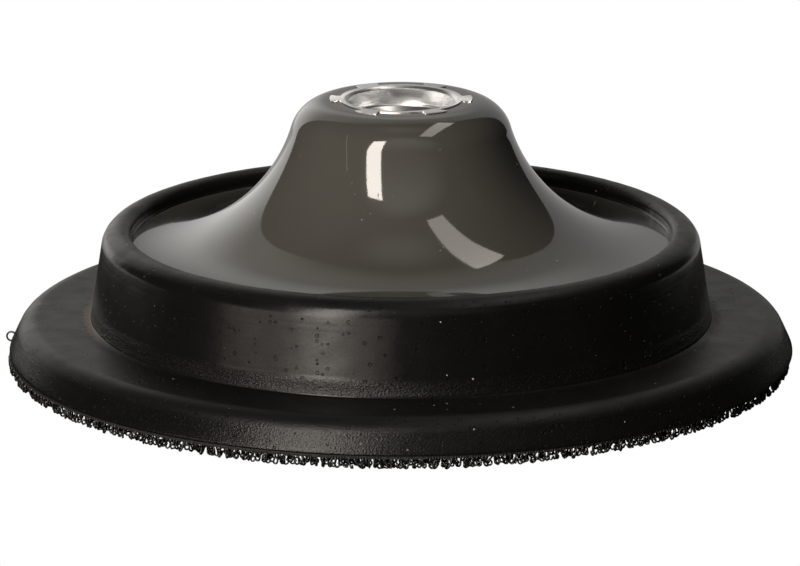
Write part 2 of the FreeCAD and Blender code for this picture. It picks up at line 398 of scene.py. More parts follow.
ALUMINIUM = (0.74, 0.745, 0.75)
OLIVE_GREY = (0.0605, 0.0590, 0.0515)
PALE_DUST = (0.42, 0.40, 0.36, 1)
PAD_BLACK = (0.0042, 0.0041, 0.0040)
GREY_DUST = (0.34, 0.33, 0.31, 1)
DRIED_RESIDUE = (0.20, 0.185, 0.17, 1)
# Brown of the specks that paint the glints of grit in the highlights.
GRIT_GLINT_BROWN = (0.050, 0.042, 0.036, 1)
ADHESIVE_BLACK = (0.012, 0.011, 0.010)
TAPE_BLACK = (0.010, 0.010, 0.010)
HOOK_BLACK = (0.007, 0.007, 0.007)
TAPE_THREAD = 0.42 * MM


def aluminium_finish():
    """Fine turning marks all over, and grit on the top face."""
    material, tree, shader, place = new_material("turned_aluminium", Metallic=1.0, Anisotropic=0.6)
    factor = use(tree, MOTTLE, Place=place, Scale=350.0, Strength=0.12)
    height = add(tree, "SeparateXYZ", {"Vector": place}).outputs["Z"]
    on_face = threshold(tree, height, INSERT_HIGH.z - 0.10 * MM, INSERT_HIGH.z - 0.02 * MM)
    marks = use(tree, RING_MARKS, Place=place, Scale=5200.0, Breaks=0.1)
    rough = add(tree, "MapRange", {"Value": marks, "To Min": 0.20, "To Max": 0.38})
    rough = plus(tree, rough.outputs["Result"], times(tree, on_face, 0.34))
    grit = times(tree, noise_at(tree, place, 4200.0, 2.0), on_face)
    normal = bump(tree, marks, 0.006 * MM, 0.5)
    normal = bump(tree, grit, 0.03 * MM, 0.6, normal)
    along = add(tree, "Tangent", direction_type="RADIAL", axis="Z").outputs["Tangent"]
    base = tinted(tree, ALUMINIUM, factor)
    connect(tree, shader, Base_Color=base, Roughness=rough, Normal=normal, Tangent=along)
    return material


def nylon_finish():
    """Glossy, a little wavy, with dust, hairlines and one longer scratch at the front."""
    material, tree, shader, place = new_material("olive_grey_nylon", IOR=1.53)
    factor = use(tree, MOTTLE, Place=place, Scale=75.0, Strength=0.10)
    dust = use(tree, DUST, Place=place, Scale=820.0, Amount=0.55)
    hairlines = use(tree, SCRATCHES, Place=place, Scale=1500.0, Amount=0.8)
    mark = {"Angle": math.radians(-92.6), "Slant": -12.1, "Low": 35.2 * MM, "High": 40.4 * MM}
    line = use(tree, STREAK, Place=place, Width=0.05 * MM, Wander=0.12 * MM, **mark)
    base = mix_colours(tree, dust, tinted(tree, OLIVE_GREY, factor), PALE_DUST)
    base = mix_colours(tree, times(tree, line, 0.12), base, PALE_DUST)
    scratch = maths(tree, "MAXIMUM", hairlines, line)
    cloud = use(tree, MOTTLE, Place=place, Scale=260.0, Strength=0.25)
    rough = plus(tree, times(tree, cloud, 0.055), times(tree, scratch, 0.25))
    rough = plus(tree, rough, times(tree, dust, 0.4))
    normal = bump(tree, noise_at(tree, place, 55.0, 2.0), 0.05 * MM, 1.0)
    normal = bump(tree, noise_at(tree, place, 1400.0, 2.0), 0.002 * MM, 0.5, normal)
    normal = bump(tree, minus(tree, 1.0, scratch), 0.004 * MM, 0.5, normal)
    connect(tree, shader, Base_Color=base, Roughness=rough, Normal=normal)
    return material


def rise(tree, height, level, start, end):
    """A mask that goes from 0 to 1 between two heights, in mm above or below a level."""
    return threshold(tree, height, level + start * MM, level + end * MM)


def skin_zones(tree, place):
    """Masks on the moulded skin: its gritty bands, where tool marks show, and its matt flats."""
    height = add(tree, "SeparateXYZ", {"Vector": place}).outputs["Z"]
    foot_low = rise(tree, height, FLANGE_HEIGHT, 0.1, 0.5)
    foot_high = rise(tree, height, FLANGE_HEIGHT, 3.2, 1.8)
    rim = times(tree, rise(tree, height, FLANGE_HEIGHT, -0.6, -1.4), 0.55)
    gritty = maths(tree, "MAXIMUM", times(tree, foot_low, foot_high), rim)
    below_lip = rise(tree, height, LIP_HEIGHT, -6.5, -4.0)
    off_roll = rise(tree, height, LIP_HEIGHT, -1.4, -2.4)
    marked = plus(tree, times(tree, times(tree, below_lip, off_roll), 0.8), 0.2)
    flange_top = rise(tree, height, FLANGE_HEIGHT, 0.2, 0.02)
    above_edge = rise(tree, height, FLANGE_HEIGHT, -2.3, -1.2)
    lip_top = times(tree, rise(tree, height, LIP_HEIGHT, -1.5, -0.8), 0.8)
    matt = maths(tree, "MAXIMUM", times(tree, flange_top, above_edge), lip_top)
    return gritty, marked, matt


def polyurethane_finish():
    """Black moulded skin with pits, grit, dust, dried residue at the foot and a nick in the lip, and
    brown specks that are painted glints on the grit.
    """
    settings = {"IOR": 1.48, "Specular_IOR_Level": 0.19}
    material, tree, shader, place = new_material("black_polyurethane", **settings)
    gritty, marked, matt = skin_zones(tree, place)
    factor = use(tree, MOTTLE, Place=place, Scale=110.0, Strength=0.35)
    dust = use(tree, DUST, Place=place, Scale=1000.0, Amount=0.8)
    left = use(tree, RESIDUE, Place=place, Side=-1.0, Middle=0.05, Reach=0.42, Amount=0.65)
    right = use(tree, RESIDUE, Place=place, Side=1.0, Middle=0.0, Reach=0.35, Amount=0.3)
    residue = maths(tree, "MAXIMUM", left, right)
    grains = noise_at(tree, place, 3300.0, 3.0)
    # The brown specks are painted glints: colour that stands in for the sparkle of the grit in the
    # highlights, denser in the gritty bands, laid over the real grit bump.
    specks = threshold(tree, grains, 0.56, 0.68)
    specks = times(tree, specks, plus(tree, times(tree, gritty, 0.12), 0.05))
    base = mix_colours(tree, dust, tinted(tree, PAD_BLACK, factor), GREY_DUST)
    base = mix_colours(tree, residue, base, DRIED_RESIDUE)
    base = mix_colours(tree, specks, base, GRIT_GLINT_BROWN)
    cloud = use(tree, MOTTLE, Place=place, Scale=240.0, Strength=0.25)
    rough = times(tree, cloud, plus(tree, times(tree, matt, 0.19), 0.24))
    rough = plus(tree, rough, times(tree, residue, 0.5))
    marks = times(tree, use(tree, RING_MARKS, Place=place, Scale=2200.0, Breaks=0.15), marked)
    pits = use(tree, PITS, Place=place, Scale=1250.0, Share=0.16)
    nick = {"Angle": math.radians(-127.7), "Low": LIP_HEIGHT - 2.4 * MM, "High": LIP_HEIGHT}
    crack = use(tree, STREAK, Place=place, Width=0.09 * MM, Wander=1.6 * MM, **nick)
    normal = bump(tree, marks, 0.014 * MM, 0.6)
    normal = bump(tree, noise_at(tree, place, 1900.0, 3.0), 0.010 * MM, 0.6, normal)
    normal = bump(tree, pits, 0.20 * MM, 1.0, normal)
    normal = bump(tree, times(tree, grains, gritty), 0.12 * MM, 1.0, normal)
    normal = bump(tree, minus(tree, 1.0, crack), 0.15 * MM, 1.0, normal)
    connect(tree, shader, Base_Color=base, Roughness=rough, Normal=normal)
    return material


def adhesive_finish():
    material, tree, shader, place = new_material("contact_adhesive")
    factor = use(tree, MOTTLE, Place=place, Scale=600.0, Strength=0.4)
    base, rough = tinted(tree, ADHESIVE_BLACK, factor), times(tree, factor, 0.45)
    normal = bump(tree, noise_at(tree, place, 900.0, 2.0), 0.05 * MM)
    connect(tree, shader, Base_Color=base, Roughness=rough, Normal=normal)
    return material


def weave_finish():
    """Plain weave: warp and weft ribs that take turns to lie on top, painted darker in the low parts
    as shade and lighter on the high parts.
    """
    material, tree, shader, place = new_material("black_woven_tape")
    parts = add(tree, "SeparateXYZ", {"Vector": place}).outputs
    phase_x = times(tree, parts["X"], math.pi / TAPE_THREAD)
    phase_y = times(tree, parts["Y"], math.pi / TAPE_THREAD)
    over = times(tree, maths(tree, "SINE", phase_x), maths(tree, "SINE", phase_y))
    height = plus(tree, maths(tree, "ABSOLUTE", over), times(tree, over, 0.3))
    # The colour follows the weave's height: painted shade in the low parts, painted light on the high
    # parts.
    shade = add(tree, "MapRange", {"Value": height, "To Min": 0.55, "To Max": 1.35})
    base = tinted(tree, TAPE_BLACK, shade.outputs["Result"])
    rough = times(tree, use(tree, MOTTLE, Place=place, Scale=300.0, Strength=0.2), 0.6)
    connect(tree, shader, Base_Color=base, Roughness=rough, Normal=bump(tree, height, 0.15 * MM))
    return material


def hook_finish():
    material, tree, shader, place = new_material("black_hook_nylon", IOR=1.53)
    factor = use(tree, MOTTLE, Place=place, Scale=900.0, Strength=0.5)
    rough = times(tree, use(tree, MOTTLE, Place=place, Scale=2000.0, Strength=0.3), 0.32)
    connect(tree, shader, Base_Color=tinted(tree, HOOK_BLACK, factor), Roughness=rough)
    return material


# ---------------------------------------------------------------------------------------------
# Threaded insert
# ---------------------------------------------------------------------------------------------

TIP_STEPS, SIDE_STEPS, ARC_STEPS = 20, 5, 12
THREAD_ROWS = 18
SECTOR = TURN / LUG_COUNT


def lug_sector():
    """One sixth of the insert's edge, from midway between two lugs to the next such point."""
    tip_half_angle = math.asin(LUG_TIP_HALF / LUG_TIP_RADIUS)
    root_angle = math.asin(LUG_ROOT_HALF / INSERT_RADIUS)
    arc_angles = np.linspace(SECTOR / 2, root_angle, ARC_STEPS + 1)[:-1]
    half = [(INSERT_RADIUS * math.cos(a), INSERT_RADIUS * math.sin(a)) for a in arc_angles]
    root = Vector((INSERT_RADIUS * math.cos(root_angle), LUG_ROOT_HALF))
    tip = Vector((LUG_TIP_RADIUS * math.cos(tip_half_angle), LUG_TIP_HALF))
    half += [tuple(root.lerp(tip, step / SIDE_STEPS)) for step in range(SIDE_STEPS)]
    tip_angles = np.linspace(tip_half_angle, 0, TIP_STEPS // 2 + 1)
    half += [(LUG_TIP_RADIUS * math.cos(a), LUG_TIP_RADIUS * math.sin(a)) for a in tip_angles]
    mirrored = [(x, -y) for x, y in half]
    return mirrored[:-1] + half[::-1]


def sector_angles(tip, root):
    """Angles of plain circles' points that face the points of lug_sector, lug tip and root given."""
    tip, root = math.radians(tip), math.radians(root)
    half = list(np.linspace(SECTOR / 2, root, ARC_STEPS + 1)[:-1])
    half += list(np.linspace(root, tip, SIDE_STEPS + 1)[:-1])
    half += list(np.linspace(tip, 0, TIP_STEPS // 2 + 1))
    return [-a for a in half[:-1]] + half[::-1]


def all_round(sector, turn):
    """Repeat a sector's points or angles for each lug, dropping the shared end point."""
    return [turn(item, SECTOR * number) for number in range(LUG_COUNT) for item in sector[:-1]]


def turn_point(point, angle):
    x, y = point
    c, s = math.cos(angle), math.sin(angle)
    return (x * c - y * s, x * s + y * c)


def smoothed(points, passes):
    """A closed loop of points with its corners softened."""
    loop = np.array(points)
    for _ in range(passes):
        loop = (np.roll(loop, 1, axis=0) + 2 * loop + np.roll(loop, -1, axis=0)) / 4
    return loop


def inset(loop, distance):
    """A closed loop moved inwards by a distance."""
    along = np.roll(loop, -1, axis=0) - np.roll(loop, 1, axis=0)
    outward = np.stack([along[:, 1], -along[:, 0]], axis=1)
    outward /= np.linalg.norm(outward, axis=1)[:, None]
    return loop - outward * np.broadcast_to(distance, len(loop))[:, None]


LUGGED_EDGE = smoothed(all_round(lug_sector(), turn_point), 3)
INNER_ANGLES = np.array(all_round(sector_angles(5.0, 6.5), lambda a, turn: a + turn))
OUTER_ANGLES = np.array(all_round(sector_angles(10.0, 16.0), lambda a, turn: a + turn))
AROUND = len(INNER_ANGLES)


def ring(radius, height, angles):
    """One loop of points on a circle. Radius and height may vary with the angle."""
    radius, height = np.broadcast_arrays(radius, height, angles)[:2]
    return np.stack([radius * np.cos(angles), radius * np.sin(angles), height], axis=1)


def rings(line, angles):
    """A loop of points on a circle for each radius and height of a line."""
    return [ring(radius, height, angles) for radius, height in line]


def edge_loop(distance, height):
    """One loop of points round the insert's edge, lugs and all, moved inwards by a distance."""
    loop = inset(LUGGED_EDGE, distance)
    height = np.broadcast_to(height, len(loop))
    return np.column_stack([loop, height])


def thread_radius(angles, height):
    """The wall of a right-hand M14 x 2 internal thread: flat roots and crests, 60 degree flanks."""
    phase = (height / THREAD_PITCH - angles / TURN) % 1.0
    from_crest = np.abs(phase - 0.5) * 2
    depth = np.clip((from_crest - THREAD_CREST) / (THREAD_ROOT - THREAD_CREST), 0, 1)
    return THREAD_MINOR + (THREAD_MAJOR - THREAD_MINOR) * depth


def stacked_piece(name, loops, smooth_angle):
    points = np.concatenate(loops)
    return mesh_piece(name, points, stack_faces(len(loops), AROUND), smooth_angle)


def make_insert():
    """The turned bush. Its loops run down the bore, out under it and back up the outside."""
    top, bottom = INSERT_HIGH.z, INSERT_LOW.z
    ledge = top - COLLAR_DEPTH
    relief = THREAD_RELIEF - THREAD_MINOR
    rng = np.random.default_rng(SEED)
    chatter = rng.normal(0, 0.018 * MM, AROUND)
    burr = np.abs(rng.normal(0, 0.03 * MM, AROUND))
    mouth = COLLAR_RADIUS + COLLAR_CHAMFER
    recess = [
        (mouth + 0.28 * MM, top),
        (mouth + 0.05 * MM + chatter, top),
        (mouth - 0.04 * MM + chatter, top - 0.05 * MM),
        (COLLAR_RADIUS + 0.06 * MM, top - COLLAR_CHAMFER + 0.04 * MM),
        (COLLAR_RADIUS, top - COLLAR_CHAMFER - 0.05 * MM),
        (COLLAR_RADIUS, (top + ledge) / 2),
        (COLLAR_RADIUS, ledge + 0.12 * MM),
        (COLLAR_RADIUS - 0.04 * MM, ledge + 0.03 * MM),
        (COLLAR_RADIUS - 0.14 * MM, ledge),
        ((COLLAR_RADIUS + THREAD_RELIEF) / 2, ledge),
        (THREAD_RELIEF + 0.04 * MM, ledge),
    ]
    loops = rings(recess, INNER_ANGLES)
    rows = int((ledge - bottom) / (THREAD_PITCH / THREAD_ROWS))
    for height in np.linspace(ledge - 0.02 * MM, bottom + 0.02 * MM, rows):
        entry = THREAD_RELIEF - min(ledge - height, height - bottom, relief)
        radius = np.maximum(thread_radius(INNER_ANGLES, height), entry)
        loops.append(ring(radius, height, INNER_ANGLES))
    groove_top, lug_bottom = GROOVE_HEIGHT + GROOVE_WIDTH, top - LUG_LENGTH
    outside = [
        (THREAD_RELIEF + 0.04 * MM, bottom),
        (INSERT_RADIUS - 0.3 * MM, bottom),
        (INSERT_RADIUS, bottom + 0.3 * MM),
        (INSERT_RADIUS, GROOVE_HEIGHT - 0.05 * MM),
        (INSERT_RADIUS - GROOVE_DEPTH, GROOVE_HEIGHT),
        (INSERT_RADIUS - GROOVE_DEPTH, groove_top),
        (INSERT_RADIUS, groove_top + 0.05 * MM),
        (INSERT_RADIUS, lug_bottom - 0.05 * MM),
    ]
    loops += rings(outside, INNER_ANGLES)
    loops += [
        edge_loop(0.02 * MM, lug_bottom),
        edge_loop(0, lug_bottom + 0.1 * MM),
        edge_loop(0, top - 1.0 * MM),
        edge_loop(-burr * 0.4, top - 0.07 * MM),
        edge_loop(0.02 * MM - burr, top - 0.02 * MM),
        edge_loop(0.06 * MM - burr * 0.5, top),
    ]
    piece = stacked_piece("insert_bush", loops, 30)
    finish_piece(piece, aluminium_finish(), "turned_aluminium", "threaded_insert")


def finish_piece(piece, material, slot, *nodes):
    """Give a piece its material, and put it on the pad in place of its CAD nodes. The slot argument is
    not used.
    """
    piece.data.materials.clear()
    piece.data.materials.append(material)
    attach(piece, "root")
    if nodes:
        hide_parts(*nodes)


# ---------------------------------------------------------------------------------------------
# Hub
# ---------------------------------------------------------------------------------------------


def flare_centre():
    return FLARE_FOOT, BRIM_HEIGHT + FLARE_ROUND


def hub_outer_line():
    """The hub's outside from its flat top, over the shoulder and down the flare to the brim."""
    centre_x, centre_z = flare_centre()
    shoulder_z = HUB_HIGH.z - SHOULDER_ROUND
    drop = centre_z - shoulder_z
    reach = FLARE_ROUND + SHOULDER_ROUND
    lean = math.degrees(math.asin(drop / reach))
    shoulder_x = centre_x - math.sqrt(reach**2 - drop**2)
    line = arc((shoulder_x, shoulder_z), SHOULDER_ROUND, 90, lean, 26)
    line += arc((centre_x, centre_z), FLARE_ROUND, 180 + lean, 270, 90)[1:]
    return line


def hub_under_line():
    """The hub's underside from the brim's edge up into the shell, then down the boss."""
    centre_x, centre_z = flare_centre()
    inner = FLARE_ROUND + SHELL
    lean = math.degrees(math.asin((centre_z - ROOF_HEIGHT) / inner))
    line = [(BRIM_RADIUS, BRIM_HEIGHT - SHELL + 0.4 * MM)]
    line += arc((centre_x, centre_z), inner, 270, 180 + lean, 30)
    line += [(BOSS_RADIUS, ROOF_HEIGHT), (BOSS_RADIUS, HUB_LOW.z), (WELL_RADIUS, HUB_LOW.z)]
    line += [(WELL_RADIUS, INSERT_LOW.z - 0.02 * MM)]
    return line


def make_hub():
    """The hub. Its loops run up round the lugs, over the outside, up the shell and down the boss."""
    top, seat, lug_bottom = HUB_HIGH.z, INSERT_RADIUS + SEAT_GAP, INSERT_HIGH.z - LUG_LENGTH
    loops = [
        edge_loop(-SEAT_GAP, lug_bottom - SEAT_GAP),
        edge_loop(-SEAT_GAP, top - 0.06 * MM),
        edge_loop(-SEAT_GAP - 0.05 * MM, top),
    ]
    brim = [
        (BRIM_RADIUS - 0.6 * MM, BRIM_HEIGHT),
        (BRIM_RADIUS - 0.1 * MM, BRIM_HEIGHT - 0.2 * MM),
        (BRIM_RADIUS, BRIM_HEIGHT - 0.6 * MM),
    ]
    loops += rings(hub_outer_line() + brim + hub_under_line(), OUTER_ANGLES)
    bore = [(seat, INSERT_LOW.z - SEAT_GAP), (seat, lug_bottom - 2 * SEAT_GAP)]
    loops += rings(bore, INNER_ANGLES)
    piece = stacked_piece("hub_moulding", loops, 40)
    finish_piece(piece, nylon_finish(), "hub_nylon", "hub")


# ---------------------------------------------------------------------------------------------
# Polyurethane pad
# ---------------------------------------------------------------------------------------------

PAD_AROUND = 420


def pad_outline():
    """The pad's section, from the centre hole out along the underside, up and over to the hub."""
    lip_centre = LIP_CREST, LIP_HEIGHT - LIP_OUTER_ROUND
    lip_edge_r = lip_centre[0] + LIP_OUTER_ROUND * math.cos(LIP_EDGE_ANGLE)
    lip_edge_z = lip_centre[1] + LIP_OUTER_ROUND * math.sin(LIP_EDGE_ANGLE)
    flange_centre = FLANGE_TOP_RADIUS, FLANGE_HEIGHT - FLANGE_ROUND
    inside = LIP_CREST - LIP_INNER_ROUND
    inner_centre = LIP_CREST, LIP_HEIGHT - LIP_INNER_ROUND
    under_brim = HUB_LOW.z - SEAT_GAP
    flare_x, flare_z = flare_centre()
    inner = FLARE_ROUND + SHELL + SEAT_GAP
    lean = math.degrees(math.asin((flare_z - ROOF_HEIGHT) / inner))
    base = PAD_LOW.z
    line = [(WELL_RADIUS, base), (FLANGE_RADIUS - 0.25 * MM, base)]
    line += [(FLANGE_RADIUS - 0.05 * MM, base + 0.08 * MM)]
    line += [(FLANGE_RADIUS, base + 0.2 * MM), (FLANGE_RADIUS, FLANGE_EDGE_HEIGHT - 0.15 * MM)]
    line += [(FLANGE_RADIUS - 0.08 * MM, FLANGE_EDGE_HEIGHT + 0.12 * MM)]
    line += arc(flange_centre, FLANGE_ROUND, math.degrees(FLANGE_EDGE_ANGLE), 90, 18)
    line += [(DRUM_FOOT + 0.55 * MM, FLANGE_HEIGHT)]
    line += [(DRUM_FOOT + 0.14 * MM, FLANGE_HEIGHT + 0.12 * MM)]
    line += [(DRUM_FOOT - 0.06 * MM, FLANGE_HEIGHT + 0.55 * MM)]
    line += [(lip_edge_r + 0.03 * MM, lip_edge_z - 0.25 * MM)]
    line += arc(lip_centre, LIP_OUTER_ROUND, math.degrees(LIP_EDGE_ANGLE) + 3, 90, 26)
    line += arc(inner_centre, LIP_INNER_ROUND, 90, 180, 12)[1:]
    line += [(inside, BRIM_HEIGHT + 0.35 * MM), (inside - 0.25 * MM, BRIM_HEIGHT + 0.06 * MM)]
    line += [(inside, BRIM_HEIGHT - SEAT_GAP), (BRIM_RADIUS - 0.6 * MM, BRIM_HEIGHT + SEAT_GAP)]
    line += [(BRIM_RADIUS + SEAT_GAP, BRIM_HEIGHT - 0.6 * MM), (BRIM_RADIUS + SEAT_GAP, under_brim)]
    line += arc((flare_x, flare_z), inner, 270, 180 + lean, 24)
    line += [(BOSS_RADIUS + SEAT_GAP, ROOF_HEIGHT), (BOSS_RADIUS + SEAT_GAP, under_brim)]
    line += [(WELL_RADIUS, under_brim)]
    return spaced(line, 0.8 * MM)


def pad_wobble(angle, radius, height):
    """How far a moulded, slightly flexible pad strays from its drawing."""
    if radius <= LIP_CREST - LIP_INNER_ROUND - 0.3 * MM:
        return radius, height
    slow = soft_noise(angle, radius, height, 14 * MM, 1) * 0.05 * MM
    fine = soft_noise(angle, radius, height, 2.2 * MM, 2) * 0.018 * MM
    if radius < LIP_CREST + 0.2 * MM and height > BRIM_HEIGHT:
        slow += soft_noise(angle, radius, 0, 6 * MM, 3) * 0.10 * MM
        fine += soft_noise(angle, radius, 0, 1.3 * MM, 4) * 0.05 * MM
    if height <= PAD_LOW.z + 0.2 * MM:
        return radius + slow + fine, height
    return radius + slow + fine, height + fine


def make_pad():
    piece = turned_piece("pad_moulding", pad_outline(), PAD_AROUND, pad_wobble, 32)
    finish_piece(piece, polyurethane_finish(), "pad_polyurethane", "pad_body")


# ---------------------------------------------------------------------------------------------
# Hook-and-loop facing
# ---------------------------------------------------------------------------------------------


TAPE_SHIFT = Vector((-0.3 * MM, 0, 0))
TAPE_INSET = 0.2 * MM


def make_disc(name, low, high, edge_noise):
    """A thin ring of tape or film with a slightly uneven cut edge, stuck on a little off centre."""
    radius = high.x - TAPE_INSET
    outline = [(WELL_RADIUS, low.z), (radius, low.z), (radius, high.z), (WELL_RADIUS, high.z)]

    def cut(angle, r, z):
        if r < radius:
            return r, z
        return r + soft_noise(angle, r, 0, 1.2 * MM, 5) * edge_noise, z

    piece = turned_piece(name, spaced(outline, 3 * MM), 720, cut)
    piece.data.transform(Matrix.Translation(TAPE_SHIFT))
    return piece


def make_film():
    piece = make_disc("adhesive_layer", FILM_LOW, FILM_HIGH, 0.12 * MM)
    finish_piece(piece, adhesive_finish(), "adhesive", "adhesive_film")


def make_weave():
    piece = make_disc("woven_tape", WEAVE_LOW, WEAVE_HIGH, 0.22 * MM)
    finish_piece(piece, weave_finish(), "hook_weave", "hook_backing")


HOOK_PITCH = 1.22 * MM
HOOK_WIRE = 0.165 * MM
HOOK_POINTS = 10
HOOK_SIDES = 5
HOOK_STEM = 3
HOOK_FIELDS = 6
RIM_PITCH = 0.82 * MM
ROW_SHARE = 0.87
HOOK_TIGHTENING = 0.25
HOOK_MARGIN = 0.32 * MM
RIM_BAND = 1.2 * MM


def hook_places(rng):
    """Where each hook stands: staggered rows across the tape, and a closer row round its rim."""
    places = []
    limit = PILE_HIGH.x - HOOK_MARGIN
    steps = int(limit / HOOK_PITCH) + 1
    row_steps = int(limit / (HOOK_PITCH * ROW_SHARE)) + 1
    for row in range(-row_steps, row_steps + 1):
        for column in range(-steps, steps + 1):
            x = (column + 0.5 * (row % 2)) * HOOK_PITCH + rng.normal(0, 0.14 * MM)
            y = row * HOOK_PITCH * ROW_SHARE + rng.normal(0, 0.10 * MM)
            if WELL_RADIUS + 0.5 * MM < math.hypot(x, y) < limit - 0.3 * MM:
                places.append((x, y))
    rim_count = int(TURN * limit / RIM_PITCH)
    for number in range(rim_count):
        angle = TURN * (number + rng.uniform(-0.35, 0.35)) / rim_count
        radius = limit + rng.uniform(-0.25, 0.1) * MM
        places.append((radius * math.cos(angle), radius * math.sin(angle)))
    return np.array(places)


def hook_lines(places, rng):
    """The bent centre line of every hook, as an array of (hook, point, xyz)."""
    count = len(places)
    height = rng.uniform(0.86, 1.0, count) * (PILE_HIGH.z - PILE_LOW.z - HOOK_WIRE)
    curl = rng.uniform(0.32, 0.52, count) * MM
    sweep = np.radians(rng.uniform(190, 330, count))
    lean = rng.normal(0, 0.26, count)
    bow = rng.normal(0, 0.12 * MM, count)
    facing = rng.normal(0, 0.7, count) + math.pi * (rng.random(count) < 0.5)
    side, down = np.zeros((count, HOOK_POINTS)), np.zeros((count, HOOK_POINTS))
    for point in range(HOOK_POINTS):
        if point < HOOK_STEM:
            share = point / HOOK_STEM
            side[:, point] = bow * math.sin(math.pi * share)
            down[:, point] = share * (height - curl)
        else:
            turn = sweep * (point - HOOK_STEM) / (HOOK_POINTS - 1 - HOOK_STEM)
            tighter = 1 - HOOK_TIGHTENING * (point - HOOK_STEM) / (HOOK_POINTS - 1 - HOOK_STEM)
            side[:, point] = curl * (1 - np.cos(turn) * tighter) - curl * (1 - tighter)
            down[:, point] = height - curl + curl * np.sin(turn) * tighter
    side += down * lean[:, None] - curl[:, None] * 0.6
    radius = np.hypot(places[:, 0], places[:, 1])
    outward = places / radius[:, None]
    near_rim = np.clip((radius - PILE_HIGH.x + RIM_BAND) / RIM_BAND, 0, 1)
    splay = near_rim * rng.uniform(-0.25, 0.12, count)
    lines = np.zeros((count, HOOK_POINTS, 3))
    for axis, turn in ((0, np.cos(facing)), (1, np.sin(facing))):
        lines[:, :, axis] = places[:, axis, None] + side * turn[:, None]
        lines[:, :, axis] += down * (splay * outward[:, axis])[:, None]
    lines[:, :, 2] = PILE_HIGH.z + 0.08 * MM - down
    reach = np.hypot(lines[:, :, 0], lines[:, :, 1])
    limit = PILE_HIGH.x - HOOK_WIRE
    lines[:, :, :2] *= np.minimum(1, limit / reach)[:, :, None]
    return lines


def stray_hook():
    """One hook at the left edge that has sprung out sideways into an open loop."""
    angles, loop_radius, round_to = np.linspace(-2.4, 2.6, HOOK_POINTS), 0.75 * MM, math.radians(176.5)
    out = PILE_HIGH.x - 0.8 * MM + loop_radius * (1 + np.cos(angles))
    up = PILE_HIGH.z + 1.0 * MM + loop_radius * np.sin(angles)
    line = [out * math.cos(round_to), out * math.sin(round_to), up]
    return np.stack(line, axis=1)[None]


def tubes(lines, wire):
    """Points and faces of closed tubes along the lines, with a radius for each."""
    count, length, _ = lines.shape
    along = np.gradient(lines, axis=1)
    along /= np.linalg.norm(along, axis=2)[:, :, None]
    flat = lines[:, -1] - lines[:, 0] + (lines[:, length // 2] - lines[:, 0])
    across = np.cross(flat, along[:, 0])
    across /= np.linalg.norm(across, axis=1)[:, None]
    across = np.repeat(across[:, None, :], length, axis=1)
    other = np.cross(along, across)
    points = []
    for side in range(HOOK_SIDES):
        angle = TURN * side / HOOK_SIDES
        step = across * math.cos(angle) + other * math.sin(angle)
        points.append(lines + step * wire[:, None, None])
    points = np.stack(points, axis=2).reshape(-1, 3)
    faces = []
    for tube in range(count):
        start = tube * length * HOOK_SIDES
        for ring_number in range(length - 1):
            low = start + ring_number * HOOK_SIDES
            for side in range(HOOK_SIDES):
                after = (side + 1) % HOOK_SIDES
                high = low + HOOK_SIDES
                faces.append((low + side, low + after, high + after, high + side))
        last = start + (length - 1) * HOOK_SIDES
        faces.append(tuple(range(start + HOOK_SIDES - 1, start - 1, -1)))
        faces.append(tuple(range(last, last + HOOK_SIDES)))
    return points, faces


def make_hooks():
    """The hook pile, in sectors so that no one mesh is too heavy."""
    rng = np.random.default_rng(SEED)
    places, stray = hook_places(rng), stray_hook()
    lines = np.append(hook_lines(places, rng), stray, axis=0) + np.array(TAPE_SHIFT)
    places = np.append(places, stray[:, 0, :2], axis=0)
    wire = rng.uniform(0.92, 1.08, len(places)) * HOOK_WIRE
    sector = ((np.arctan2(places[:, 1], places[:, 0]) + math.pi) / TURN * HOOK_FIELDS).astype(int)
    material = hook_finish()
    for field in range(HOOK_FIELDS):
        mine = np.clip(sector, 0, HOOK_FIELDS - 1) == field
        points, faces = tubes(lines[mine], wire[mine])
        piece = new_object(f"hook_field_{field + 1}", points.tolist(), faces)
        piece.data.shade_smooth()
        finish_piece(piece, material, "hook_nylon", *(["hook_pile"] if field == 0 else []))


# ---------------------------------------------------------------------------------------------
# Studio
# ---------------------------------------------------------------------------------------------

STUDIO = 1.2
WARM = (1.0, 0.925, 0.845)
WARMER = (1.0, 0.86, 0.77)
PANEL_COLOUR = (1, 0.985, 0.96, 1)
ROOM_COLOUR = (1, 0.98, 0.95, 1)
ROOM_STRENGTH = 0.03
WHITE = (1, 1, 1, 1)
FLOOR_GREY = (0.06, 0.06, 0.06, 1)
FLOOR_HALF = 4.0
LOOK_AT_HEIGHT = 30 * MM
CAMERA_PLACE = (-0.16 * MM, -948.03 * MM, 265.76 * MM)
CAMERA_DIP = 0.2608665
CAMERA_LENS = 276.75
CAMERA_SENSOR = 36
CAMERA_REACH = 20


def make_camera():
    data = bpy.data.cameras.new("camera")
    data.sensor_width = CAMERA_SENSOR
    data.lens = CAMERA_LENS
    data.clip_end = CAMERA_REACH
    camera = bpy.data.objects.new("camera", data)
    camera.location = CAMERA_PLACE
    camera.rotation_euler = (math.pi / 2 - CAMERA_DIP, 0, 0)
    bpy.context.scene.collection.objects.link(camera)
    bpy.context.scene.camera = camera


def make_light(name, centre, width, height, direction, radiance, colour):
    """A soft rectangular light that shines along a direction and doesn't show itself."""
    data = bpy.data.lights.new(name, "AREA")
    data.shape = "RECTANGLE"
    data.size, data.size_y = width, height
    data.energy = radiance * math.pi * width * height
    data.color = colour
    light = bpy.data.objects.new(name, data)
    light.location = centre
    light.rotation_euler = Vector(direction).to_track_quat("-Z", "Y").to_euler()
    light.visible_camera = False
    bpy.context.scene.collection.objects.link(light)
    return light


